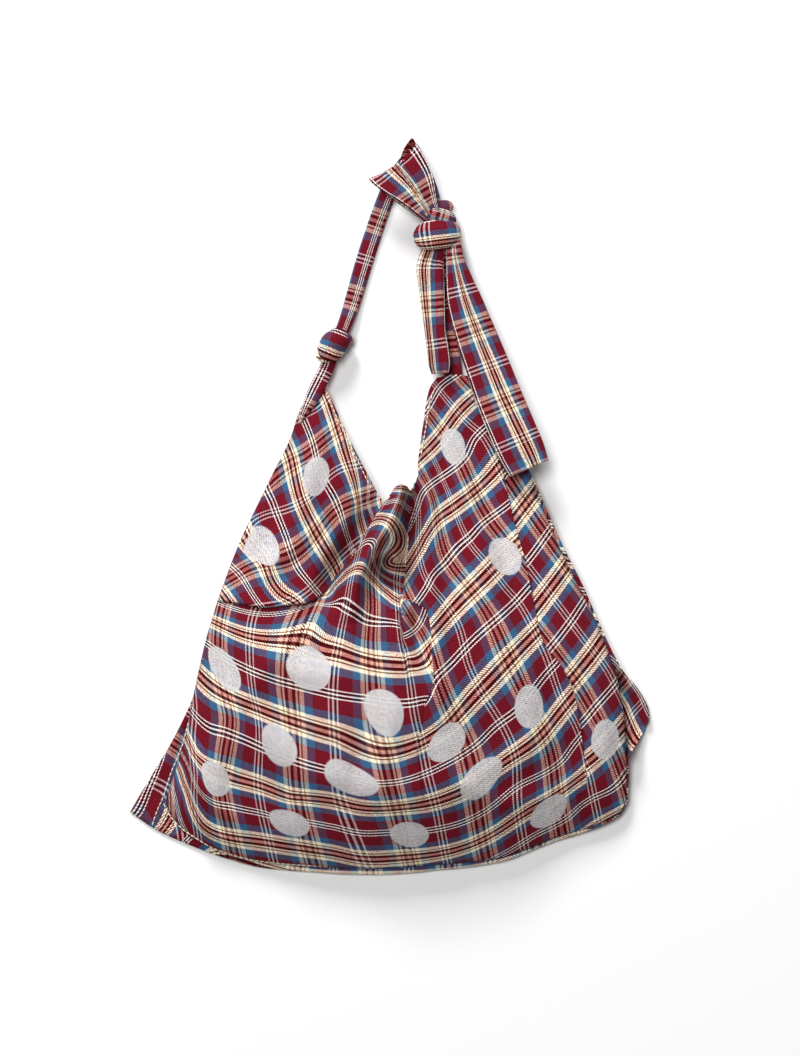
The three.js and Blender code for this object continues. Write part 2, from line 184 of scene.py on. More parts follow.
# Rounded folds: a ridge stands up on both sides of its line, a lip lifts the cloth on the left of its
# line and drops on the right. Name, kind, height and width in mm, and the line in the view
folds = [
    ("neck ridge", "ridge", 27, 13, [(352, 625), (353, 595), (358, 572), (368, 551), (380, 535),
                                     (391, 515), (398, 500), (402, 488)]),
    ("valley under the wing", "ridge", -36, 12, [(318, 606), (332, 578), (346, 556), (358, 536),
                                                 (371, 511)]),
    ("pocket below the neck", "ridge", -40, 13, [(378, 556), (388, 567), (396, 578), (400, 594)]),
    ("valley beside the neck", "ridge", -44, 9, [(414, 482), (410, 515), (408, 545), (405, 572),
                                                 (402, 596)]),
    ("curl in the pocket", "ridge", 8, 5, [(376, 560), (386, 556), (396, 560), (403, 572)]),
    ("crest of the right part", "ridge", 10, 11, [(426, 440), (424, 480), (425, 520), (427, 560),
                                                  (430, 600), (435, 640), (438, 680), (436, 710)]),
    ("flank below the crest", "ridge", -9, 10, [(412, 600), (417, 622), (420, 645)]),
    ("edge of the body", "lip", 6, 20, [(398, 596), (400, 625), (405, 655), (411, 690)][::-1]),
    ("corner crease", "lip", 8, 22, [(190, 716), (189, 756), (193, 800), (206, 838)]),
    ("corner fold", "ridge", 5, 7, [(192, 742), (200, 776), (216, 804), (244, 824)]),
    ("corner fold, lower", "ridge", 4, 6, [(176, 776), (186, 806), (204, 826), (236, 842)]),
    ("wing roll", "ridge", 7, 16, [(322, 412), (312, 470), (292, 530), (256, 588)]),
    ("wing hollow", "ridge", -4, 9, [(300, 440), (284, 500), (262, 552), (240, 590)]),
    ("wing edge roll", "ridge", 4, 12, [(336, 430), (352, 470), (362, 505)]),
    ("drag across the wing", "ridge", 3.5, 8, [(330, 500), (304, 540), (270, 566), (240, 580)]),
    ("low swag", "ridge", 6, 20, [(240, 706), (300, 761), (390, 791), (480, 776), (550, 721)]),
    ("drag under the wing", "ridge", 4, 12, [(240, 640), (290, 668), (350, 676), (392, 668)]),
    ("drag to the neck", "ridge", 4, 10, [(346, 628), (338, 690), (342, 760)]),
    ("drag from the ridge", "ridge", -4, 9, [(366, 622), (368, 680), (362, 740), (352, 800)]),
    ("drag to the flank", "ridge", 4, 9, [(394, 640), (392, 700), (382, 770), (372, 830)]),
    ("drag to the left side", "ridge", 4, 10, [(310, 616), (268, 664), (234, 720), (222, 780)]),
    ("right drag", "ridge", 6, 13, [(446, 420), (470, 500), (486, 580), (516, 660), (540, 730)]),
    ("right hollow", "ridge", -4, 10, [(456, 440), (492, 510), (512, 590), (544, 660), (560, 740)]),
    ("low right drag", "ridge", 5, 12, [(436, 730), (456, 776), (500, 800), (560, 790)]),
    ("side drag", "ridge", 4, 8, [(546, 560), (575, 620), (598, 690), (606, 760)]),
]

# The print on the front panel: plain round spots of grey heather, each on one part, mm in the view
spots = {
    "radius": 20, "light": "#ece9e8", "dark": "#9a959c",
    "cover": 0.86,           # how much of the plaid the print hides
    "edge": 0.6,             # mm on both sides of a spot's rim over which it fades out
    "flecks": (0.45, 0.62),  # fibre values between which light turns to dark
    "places": [("wing", 262, 548), ("wing", 316, 476), ("body", 226, 668), ("body", 310, 668),
               ("body", 216, 778), ("body", 280, 742), ("body", 350, 776), ("body", 384, 706),
               ("body", 290, 820), ("body", 410, 832), ("right", 480, 776), ("right", 446, 740),
               ("right", 452, 446), ("right", 504, 556), ("right", 528, 706), ("right", 548, 810),
               ("side", 604, 738)],
}
unprinted = 999          # mm from a spot, where there is no print

frontLook = {
    # How full the bag lies: mm, the powers that round it off, and how far up it is fullest
    "bellyHeight": 52, "roundAcross": 0.62, "roundUp": 0.6, "fullAt": 0.34,
    # Share of a fold's line at each end where its height stays level; how far a lip drops past its line,
    # how soon the drop is gone, and mm from the line over which a lip starts
    "foldEnds": 0.02, "lipDrop": 0.4, "lipDropSpeed": 3, "lipStart": 3,
    # Shares of the step by which a meeting lifts the upper part, rounds its edge off and presses the lower
    # part down, and how far from the edge each is felt, in mm
    "lift": 0.6, "liftReach": 26, "edge": 0.3, "edgeReach": 2.2, "press": 0.4, "pressReach": 12,
    # Small wrinkles all over: size and height in mm, and how fast they change up and down next to across
    "wrinkles": [(60, 4.0), (26, 2.0), (11, 0.5)], "wrinkleStretch": 0.6,
    # How finely it is built
    "columns": {"lip": 84, "neck": 30, "right": 66, "side": 18},
    "rows": {"wing": 88, "body": 150, "rightMouth": 42},
    "edgeSteps": {"wing": 120, "neck": 160, "pleat": 160},
    "baseGrid": 140,
}


# Count + 1 places along a part of the outline
def edgeRows(name, count):
    return smoothCurve(fromView(outline[name]), np.linspace(0, 1, count + 1))[:, :2]


def joinedEdges(*names):
    rows = [fromView(outline[names[0]])]
    for name in names[1:]:
        rows.append(fromView(outline[name])[1:])
    return np.concatenate(rows)


# The smooth height of the panel without its folds, read from straight above
def makeBase():
    cells = frontLook["baseGrid"]
    spread = np.linspace(0, 1, cells + 1)
    left = smoothCurve(joinedEdges("leftLower", "leftUpper"), spread)
    right = smoothCurve(joinedEdges("right"), spread)
    bottom = smoothCurve(joinedEdges("bottomBody", "bottomRight", "bottomSide"), spread)
    mouth = smoothCurve(joinedEdges("leftPeak", "leftMouth", "neck", "rightMouth", "rightPeak"), spread)
    points = patch(bottom, mouth, left, right)
    s, t = np.meshgrid(spread, spread)
    fullAt = frontLook["fullAt"]
    across = np.clip(1 - (2 * s - 1) ** 2, 0, 1) ** frontLook["roundAcross"]
    rise = np.clip(1 - np.clip(1 - t / fullAt, 0, None) ** 2, 0, 1) ** frontLook["roundUp"]
    points[..., 2] += frontLook["bellyHeight"] * across * rise * (1 - smoothStep(fullAt, 1, t))
    tree = BVHTree.FromPolygons(points.reshape(-1, 3).tolist(), gridFaces(cells, cells))
    rim = np.concatenate([left, right, bottom, mouth])
    return tree, rim


def baseHeight(base, points):
    tree, rim = base
    heights = np.empty(len(points))
    for k, (x, y) in enumerate(points):
        hit = surfaceBelow(tree, x, y)
        if hit is None:
            nearest = np.argmin(np.hypot(rim[:, 0] - x, rim[:, 1] - y))
            heights[k] = rim[nearest, 2]
        else:
            heights[k] = hit.z
    return heights


def foldHeight(points, table, ends):
    height = np.zeros(len(points))
    for _, kind, rise, width, line in table:
        distance, side, share = placeOnLine(fineLine(fromView(line)), points)
        fade = np.sin(np.pi * np.clip(share, ends, 1 - ends)) ** foldFade
        reach = distance / width
        if kind == "ridge":
            height += rise * fade * np.exp(-reach ** 2)
        else:
            drop = -frontLook["lipDrop"] * np.exp(-frontLook["lipDropSpeed"] * reach)
            sharp = np.where(side > 0, np.exp(-reach), drop)
            height += rise * fade * sharp * smoothStep(0, frontLook["lipStart"], distance)
    return height


# How an edge where two parts meet lifts the upper part and presses the lower one down
def meetingHeight(edgeLine, table, points, firstPart):
    distance, _, share = placeOnLine(edgeLine, points)
    step = profile(table["step"], share)
    above = step if firstPart else -step
    lift = frontLook["lift"] * above * np.exp(-distance / frontLook["liftReach"])
    lift -= frontLook["edge"] * above * np.exp(-(distance / frontLook["edgeReach"]) ** 2)
    press = frontLook["press"] * above * np.exp(-distance / frontLook["pressReach"])
    return np.where(above > 0, lift, press)


def edgeNormals(points):
    way = np.gradient(points, axis=0)
    way /= np.linalg.norm(way, axis=1)[:, None]
    return np.stack([-way[:, 1], way[:, 0]], axis=1)


# The edge as its two parts have it: the lower part runs on under the upper one
def tuckedEdge(points, table, shares):
    tuck = profile(table["tuck"], shares)[:, None] * edgeNormals(points)
    step = profile(table["step"], shares)[:, None]
    first = np.where(step < 0, points + tuck, points)
    second = np.where(step > 0, points + tuck, points)
    return first, second


print("tables read: outline, fold edges and folds of the front panel")


# The way the cloth's threads run: mm of cloth from one white triple line, and the line in the view that
# runs there. Warp lines are counted from the left and weft lines towards the bottom seam. The wing is
# folded over, so its weft lines run down and its warp lines across.
threadGuides = {
    "wing": {
        "warp": {80: [(250, 610), (275, 606), (300, 597), (318, 582), (330, 568), (345, 553)],
                 120: [(240, 573), (250, 567), (262, 563), (288, 558), (310, 542), (322, 527), (332, 515),
                       (342, 507), (352, 503)],
                 160: [(243, 540), (252, 522), (267, 514), (293, 507), (312, 496), (325, 481), (332, 474),
                       (342, 468), (362, 464)],
                 200: [(264, 487), (272, 478), (282, 470), (293, 462), (305, 457), (315, 449), (325, 440),
                       (335, 432), (345, 424)],
                 240: [(305, 414), (318, 408), (325, 400)]},
        "weft": {80: [(233, 567), (240, 573), (247, 583), (262, 605)],
                 120: [(243, 535), (250, 545), (258, 553), (265, 560), (272, 580), (283, 594), (296, 600)],
                 160: [(267, 490), (273, 501), (281, 522), (286, 534), (292, 552), (299, 569), (315, 589)],
                 200: [(287, 447), (292, 460), (296, 480), (301, 500), (309, 518), (319, 537), (328, 552),
                       (336, 566)],
                 240: [(303, 418), (309, 432), (317, 461), (326, 484), (338, 507), (345, 527)],
                 280: [(331, 403), (338, 425), (344, 445), (350, 465), (356, 485), (360, 503)],
                 320: [(367, 503), (373, 518)]},
    },
    "body": {
        "warp": {0: [(194, 705), (192, 735), (196, 775)],
                 40: [(232, 715), (228, 745), (222, 785), (226, 810)],
                 80: [(255, 612), (252, 670), (255, 695), (260, 790), (267, 828)],
                 160: [(388, 497), (378, 510), (366, 530), (357, 560), (348, 600), (340, 640), (334, 700),
                       (336, 750), (338, 790), (352, 845)],
                 200: [(404, 490), (398, 508), (390, 530), (378, 552), (372, 575), (373, 600), (371, 640)],
                 240: [(402, 640), (408, 665), (415, 715), (421, 740), (428, 775), (436, 805), (447, 860)]},
        "weft": {-200: [(396, 489), (402, 487), (408, 490)],
                 -160: [(386, 504), (394, 500), (402, 502), (407, 508)],
                 -120: [(364, 528), (370, 521), (380, 517), (390, 521), (397, 531), (399, 542), (394, 550),
                        (387, 556), (384, 566)],
                 -80: [(326, 589), (335, 576), (344, 564), (352, 554), (360, 546), (365, 541), (370, 540),
                       (376, 546)],
                 -40: [(335, 583), (345, 573), (356, 567), (366, 569), (376, 580), (387, 591), (399, 600)],
                 -19: [(335, 592), (350, 584), (362, 586), (375, 596), (390, 607)],
                 0: [(318, 602), (335, 603), (345, 607), (357, 612), (366, 619), (380, 621), (398, 622)],
                 19: [(330, 624), (345, 628), (360, 637), (380, 640), (395, 641)],
                 40: [(320, 647), (340, 651), (360, 658), (375, 662), (400, 664)],
                 80: [(207, 642), (225, 655), (250, 668), (280, 679), (300, 684), (335, 692), (370, 697),
                      (390, 700), (411, 700), (425, 697)],
                 160: [(192, 710), (204, 722), (225, 729), (250, 739), (275, 750), (300, 759), (325, 766),
                       (345, 770), (362, 773), (388, 776), (400, 778)],
                 200: [(186, 735), (194, 752), (207, 764), (222, 771), (240, 778), (260, 783), (290, 794)],
                 240: [(182, 752), (189, 766), (194, 778), (200, 789), (208, 797), (230, 804), (263, 811),
                       (300, 818), (345, 826), (380, 830), (415, 829)],
                 280: [(180, 768), (189, 792), (194, 808), (203, 824), (215, 832), (240, 838), (265, 841),
                       (290, 845)]},
    },
    "flank": {
        "warp": {240: [(402, 640), (408, 665), (411, 690)],
                 280: [(404, 606), (414, 622), (424, 636), (430, 655)],
                 320: [(418, 585), (428, 600)]},
        "weft": {0: [(401, 636), (410, 632), (417, 627), (424, 613), (428, 600)],
                 40: [(402, 659), (415, 660), (424, 655), (430, 645)],
                 80: [(400, 700), (411, 700), (425, 697)]},
    },
    "right": {
        "warp": {240: [(415, 715), (421, 740), (428, 775), (436, 805), (447, 860)],
                 320: [(417, 500), (418, 540), (423, 572), (431, 586), (442, 599), (458, 625), (467, 661),
                       (485, 697), (502, 724), (514, 753), (516, 773), (516, 795)],
                 400: [(442, 480), (453, 507), (469, 543), (484, 561), (505, 588), (516, 600), (534, 632),
                       (545, 655), (559, 696), (574, 723), (579, 735), (584, 750), (588, 775), (596, 810)],
                 480: [(433, 383), (441, 393), (458, 413), (470, 425), (480, 433), (491, 450)]},
        "weft": {-160: [(428, 408), (440, 387), (457, 375)],
                 -80: [(402, 538), (412, 523), (418, 505), (422, 493), (443, 476), (459, 464), (467, 455),
                       (473, 440), (483, 430)],
                 -40: [(424, 537), (434, 522), (450, 510), (466, 498)],
                 0: [(427, 586), (432, 575), (445, 563), (460, 545), (470, 537), (480, 525), (507, 505)],
                 80: [(425, 697), (433, 678), (449, 663), (462, 649), (475, 636), (498, 616), (516, 600),
                      (530, 584)],
                 160: [(400, 778), (420, 772), (446, 760), (478, 740), (494, 724), (516, 708), (539, 679)],
                 240: [(380, 830), (415, 829), (444, 825), (462, 820), (487, 807), (516, 784), (539, 773),
                       (561, 759), (570, 746), (579, 735)],
                 320: [(534, 834), (548, 827), (568, 816), (579, 805), (593, 796), (606, 791)]},
    },
    "side": {
        "warp": {400: [(588, 775), (596, 810)],
                 480: [(527, 566), (548, 593), (568, 619), (586, 643), (606, 669), (620, 697)]},
        "weft": {80: [(523, 565), (535, 550), (548, 532)],
                 160: [(556, 638), (570, 620), (584, 600)],
                 240: [(581, 721), (595, 704), (611, 687)],
                 320: [(593, 796), (606, 791), (617, 782), (624, 773)]},
    },
    "back": {
        "warp": {0: [(153, 782), (160, 785), (167, 789)],
                 40: [(170, 740), (177, 745), (184, 750)],
                 80: [(184, 708), (190, 712), (250, 800), (250, 500)],
                 200: [(370, 550), (370, 650), (370, 800), (370, 868)],
                 320: [(490, 550), (490, 650), (490, 800), (490, 860)],
                 440: [(614, 690), (624, 678), (610, 820)],
                 480: [(630, 716), (642, 702), (626, 800)]},
        "weft": {160: [(138, 812), (147, 793), (154, 777), (160, 762), (165, 746), (172, 727), (179, 708)],
                 182: [(156, 820), (163, 800), (171, 776), (178, 755), (183, 738)],
                 0: [(330, 600), (450, 600)],
                 -80: [(360, 520), (480, 520)],
                 200: [(250, 800), (370, 800), (490, 800)],
                 268: [(210, 848), (300, 868), (380, 872), (450, 868), (545, 844), (590, 829)],
                 80: [(620, 668), (630, 681), (641, 697), (648, 713)],
                 104: [(613, 676), (622, 690), (632, 706), (640, 724)],
                 130: [(620, 730), (628, 745)]},
    },
}
guideSlack = 0.004       # how loosely the thread surface follows its guide points
guideScale = 100         # mm that count as one in the thread surface


# A thin plate bent through guide points: gives the cloth's measure at any place
def bentPlate(guides):
    places = fromView([place for line in guides.values() for place in line]) / guideScale
    values = np.array([value for value, line in guides.items() for _ in line], float)

    def kernel(a, b):
        gap = np.linalg.norm(a[:, None] - b[None], axis=2) + 1e-9
        return gap ** 2 * np.log(gap)

    count = len(places)
    flat = np.column_stack([np.ones(count), places])
    system = np.zeros((count + 3, count + 3))
    system[:count, :count] = kernel(places, places) + guideSlack * np.eye(count)
    system[:count, count:] = flat
    system[count:, :count] = flat.T
    weights = np.linalg.solve(system, np.concatenate([values, np.zeros(3)]))

    def read(points):
        points = points / guideScale
        flatPart = np.column_stack([np.ones(len(points)), points])
        return kernel(points, places) @ weights[:count] + flatPart @ weights[count:]

    return read


def makeThreads():
    return {zone: (bentPlate(guides["warp"]), bentPlate(guides["weft"]))
            for zone, guides in threadGuides.items()}


def readThreads(threads, zone, points):
    warp, weft = threads[zone]
    return np.column_stack([warp(points), weft(points)])


# Where the threads of one part of the panel pass over into those of the next: mm in the view
passOver = {
    "flank": {"edge": [(400, 597), (401, 625), (405, 650), (411, 690)], "soft": 0.8,
              "begins": (592, 600), "ends": (650, 690)},
    "body to right": {"down": (700, 765), "right": (330, 415)},
    "side to right": {"down": (765, 800)},
}


def threadsOn(threads, part, points):
    right = points[:, 0] + viewOrigin[0]
    down = viewOrigin[1] - points[:, 1]
    own = readThreads(threads, part, points)
    if part == "body":
        flank = passOver["flank"]
        edge = np.array(flank["edge"], float)
        past = right - np.interp(down, edge[:, 1], edge[:, 0])
        onFlank = smoothStep(-flank["soft"], flank["soft"], past) * smoothStep(*flank["begins"], down)
        onFlank *= 1 - smoothStep(*flank["ends"], down)
        own += (readThreads(threads, "flank", points) - own) * onFlank[:, None]
        low = smoothStep(*passOver["body to right"]["down"], down)
        low *= smoothStep(*passOver["body to right"]["right"], right)
        own += (readThreads(threads, "right", points) - own) * low[:, None]
    if part == "side":
        low = smoothStep(*passOver["side to right"]["down"], down)
        own += (readThreads(threads, "right", points) - own) * low[:, None]
    return own


# How far each place is from the middle of the nearest spot, in mm of cloth. A spot on the wing isn't
# looked for on the other parts, nor theirs on the wing.
def spotDistance(threads, part, places):
    distance = np.full(len(places), float(unprinted))
    for home, right, down in spots["places"]:
        if (home == "wing") == (part == "wing"):
            middle = threadsOn(threads, home, fromView([(right, down)]))[0]
            distance = np.minimum(distance, np.linalg.norm(places - middle, axis=1))
    return distance


# Meshes

def makeMesh(name, points, faces, grain, thickness=None):
    mesh = bpy.data.meshes.new(name)
    mesh.from_pydata((np.array(points) * metre).tolist(), [], faces)
    attribute = mesh.attributes.new("grain", "FLOAT_VECTOR", "POINT")
    attribute.data.foreach_set("vector", np.array(grain, np.float32).ravel())
    mesh.polygons.foreach_set("use_smooth", [True] * len(mesh.polygons))
    piece = bpy.data.objects.new(name, mesh)
    bpy.context.scene.collection.objects.link(piece)
    if thickness:
        layer = piece.modifiers.new("cloth thickness", "SOLIDIFY")
        layer.thickness = thickness * metre
        layer.offset = -1    # all of it below the face that is seen
    return piece


# Points that stand in the same place become one, and faces with no area go
def weld(points, faces, grain):
    points = np.array(points)
    keys = np.round(points, 3)  # to a thousandth of a millimetre
    _, first, inverse = np.unique(keys, axis=0, return_index=True, return_inverse=True)
    inverse = inverse.ravel()
    kept = []
    for face in faces:
        ring = []
        for k in face:
            if inverse[k] not in ring:
                ring.append(int(inverse[k]))
        if len(ring) > 2:
            kept.append(tuple(ring))
    return points[first], kept, np.array(grain)[first]


def softWrinkles(points):
    rise = np.zeros(len(points))
    for size, strength in frontLook["wrinkles"]:
        rise += [noise.noise(Vector((x / size, y / size * frontLook["wrinkleStretch"], size))) * strength
                 for x, y in points]
    return rise


def joinShells(shells):
    points, faces, grain = [], [], []
    for morePoints, moreFaces, moreGrain in shells:
        start = len(points)
        points.extend(morePoints)
        grain.extend(moreGrain)
        faces.extend([tuple(start + k for k in face) for face in moreFaces])
    return points, faces, grain


# The four parts of the panel as grids of places seen from above
def layParts():
    columns, rows = frontLook["columns"], frontLook["rows"]
    lipShares = np.linspace(0, 1, columns["lip"] + 1)
    bodyShares = np.linspace(0, 1, rows["body"] + 1)
    allShares = np.linspace(0, 1, rows["body"] + rows["rightMouth"] + 1)
    lip = smoothCurve(fromView(foldEdges["wing"]), lipShares)
    neck = smoothCurve(fromView(foldEdges["neck"]), bodyShares)
    pleat = smoothCurve(fromView(foldEdges["pleat"]), allShares)
    lipWing, lipBody = tuckedEdge(lip, meeting["wing"], lipShares)
    neckBody, neckRight = tuckedEdge(neck, meeting["neck"], bodyShares)
    pleatRight, pleatSide = tuckedEdge(pleat, meeting["pleat"], allShares)
    neckTop = edgeRows("neck", columns["neck"])
    rightMouth = edgeRows("rightMouth", rows["rightMouth"])
    return {
        "wing": patch(lipWing, edgeRows("leftPeak", columns["lip"]),
                      edgeRows("leftUpper", rows["wing"]), edgeRows("leftMouth", rows["wing"])[::-1]),
        "body": patch(edgeRows("bottomBody", columns["lip"] + columns["neck"]),
                      np.concatenate([lipBody, neckTop[1:]]),
                      edgeRows("leftLower", rows["body"]), neckBody),
        "right": patch(edgeRows("bottomRight", columns["right"]), edgeRows("rightPeak", columns["right"]),
                       np.concatenate([neckRight, rightMouth[1:]]), pleatRight),
        "side": patch(edgeRows("bottomSide", columns["side"]),
                      np.repeat(pleatSide[-1:], columns["side"] + 1, axis=0),
                      pleatSide, edgeRows("right", rows["body"] + rows["rightMouth"])),
    }


def makeFrontPanel(threads):
    base = makeBase()
    columns, bodyRows = frontLook["columns"], frontLook["rows"]["body"]
    allRows = bodyRows + frontLook["rows"]["rightMouth"]
    parts = layParts()
    edges = {name: fineLine(fromView(foldEdges[name]), steps)
             for name, steps in frontLook["edgeSteps"].items()}
    # The lines that each part touches, and whether it is the first part there, which a step above 0 lifts
    touches = {"wing": [("wing", True)], "body": [("wing", False), ("neck", True)],
               "right": [("neck", False), ("pleat", True)], "side": [("pleat", False)]}

    points, grain, faces, first = [], [], [], {}
    for part, grid in parts.items():
        flat = grid.reshape(-1, 2)
        height = baseHeight(base, flat) + foldHeight(flat, folds, frontLook["foldEnds"])
        height += softWrinkles(flat)
        for edge, isFirst in touches[part]:
            height += meetingHeight(edges[edge], meeting[edge], flat, isFirst)
        first[part] = len(points)
        points.extend(np.column_stack([flat, height]).tolist())
        threadPlaces = threadsOn(threads, part, flat)
        grain.extend(np.column_stack([threadPlaces, spotDistance(threads, part, threadPlaces)]).tolist())
        faces.extend(gridFaces(grid.shape[0] - 1, grid.shape[1] - 1, first[part]))

    def index(part, j, i):
        return first[part] + j * parts[part].shape[1] + i

    # The fold between the edges of two parts: a strip from one to the other, with a row down its middle
    def foldStrip(forward, firstEdge, secondEdge):
        strip = []
        for k in range(len(firstEdge)):
            one, other = points[firstEdge[k]], points[secondEdge[k]]
            strip.append(len(points))
            points.append([(one[0] + other[0]) / 2, (one[1] + other[1]) / 2, (one[2] + other[2]) / 2])
            grain.append(grain[firstEdge[k]] if one[2] > other[2] else grain[secondEdge[k]])
        for k in range(len(firstEdge) - 1):
            near = (firstEdge[k], strip[k], strip[k + 1], firstEdge[k + 1])
            far = (strip[k], secondEdge[k], secondEdge[k + 1], strip[k + 1])
            faces.extend([near, far] if forward else [near[::-1], far[::-1]])

    wingLow = [index("wing", 0, i) for i in range(columns["lip"] + 1)]
    bodyTop = [index("body", bodyRows, i) for i in range(columns["lip"] + 1)]
    foldStrip(True, wingLow, bodyTop)
    bodyRight = [index("body", j, columns["lip"] + columns["neck"]) for j in range(bodyRows + 1)]
    rightLeft = [index("right", j, 0) for j in range(bodyRows + 1)]
    foldStrip(False, bodyRight, rightLeft)
    rightRight = [index("right", j, columns["right"]) for j in range(allRows + 1)]
    sideLeft = [index("side", j, 0) for j in range(allRows + 1)]
    foldStrip(False, rightRight, sideLeft)

    return weld(points, faces, grain)


# Materials

# A hex colour, which is sRGB, as linear values
def linearColor(code):
    parts = [int(code[k:k + 2], 16) / 255 for k in (1, 3, 5)]
    return [c / 12.92 if c <= 0.04045 else ((c + 0.055) / 1.055) ** 2.4 for c in parts] + [1.0]


def addNode(tree, kind, settings=None, inputs=None, place=(0, 0)):
    node = tree.nodes.new(kind)
    node.location = place
    for key, value in (settings or {}).items():
        setattr(node, key, value)
    for key, value in (inputs or {}).items():
        if isinstance(value, bpy.types.NodeSocket):
            tree.links.new(value, node.inputs[key])
        else:
            node.inputs[key].default_value = value
    return node


flannel = {
    "burgundy": "#721624", "blue": "#3b6389", "cream": "#fff4d8", "white": "#fffaf6", "brown": "#74300f",
    "wine": "#3d0711", "darkRed": "#420407", "pink": "#d89c8b",
    # One half of the plaid from the middle of a white triple line to the middle of the band: start in mm,
    # yarn and how far it hides the yarn that it crosses
    "weft": [(0, "white", 0.22), (0.7, "wine", 0.14), (3.3, "white", 0.22), (4.6, "burgundy", 0),
             (19, "blue", 0), (27, "cream", 0.16), (31.2, "brown", 0.2), (32.6, "cream", 0.18),
             (34.6, "darkRed", 0.26), (38.0, "pink", 0.12)],
    "warp": [(0, "white", 0.12), (0.8, "wine", 0.04), (3.4, "white", 0.12), (4.8, "burgundy", 0),
             (19, "blue", 0), (27, "cream", 0.04), (31.2, "brown", 0.1), (32.8, "cream", 0.04),
             (34.8, "darkRed", 0.12), (38.0, "pink", 0.04)],
    "weftShare": 0.57,       # how much of the face is weft
    "twill": 2.5,            # mm between twill lines; 0.6 on the real cloth, drawn coarser so that it shows
    "twillContrast": 0.32,
    "fibre": 4 / 3,          # mm of the uneven fibres, coarser than the real ones too, so that they show
    "fibreDetail": 2.0, "fibreRoughness": 0.6,
    "speckle": 1.6,          # how unevenly warp and weft show, fibre by fibre
    "mixGamma": 2.4,         # warp and weft threads mix as evenly as the eye takes them
    # The weave's height also paints light and shade into the colour: painted light on raised twill yarns,
    # painted shade on sunken ones, together with the fibres' own uneven tone
    "weave": (0.1, 1.0), "weaveShade": (0.66, 1.3),  # the weave's range and how it shades the colour
    "napDepth": 0.25, "napStrength": 0.5,  # mm, and how strongly it turns the light
    "roughness": 0.96, "specular": 0.06, "sheen": 0.02, "sheenRoughness": 0.5,
}


# Colour and hold of the stripes at a place on the cloth, mirrored at both ends of the half repeat
def stripeRamp(tree, stripes, place, at):
    half = plaidRepeat / 2
    folded = addNode(tree, "ShaderNodeMath", {"operation": "PINGPONG"}, {0: place, 1: half},
                     (at[0] - 400, at[1]))
    share = addNode(tree, "ShaderNodeMath", {"operation": "DIVIDE"}, {0: folded.outputs[0], 1: half},
                    (at[0] - 200, at[1]))
    ramp = addNode(tree, "ShaderNodeValToRGB", None, {0: share.outputs[0]}, at)
    ramp.color_ramp.interpolation = "CONSTANT"
    elements = ramp.color_ramp.elements
    while len(elements) > 1:
        elements.remove(elements[-1])
    for start, name, pull in stripes:
        stripe = elements.new(start / half) if start else elements[0]
        stripe.position = start / half
        stripe.color = linearColor(flannel[name])[:3] + [pull]
    return ramp


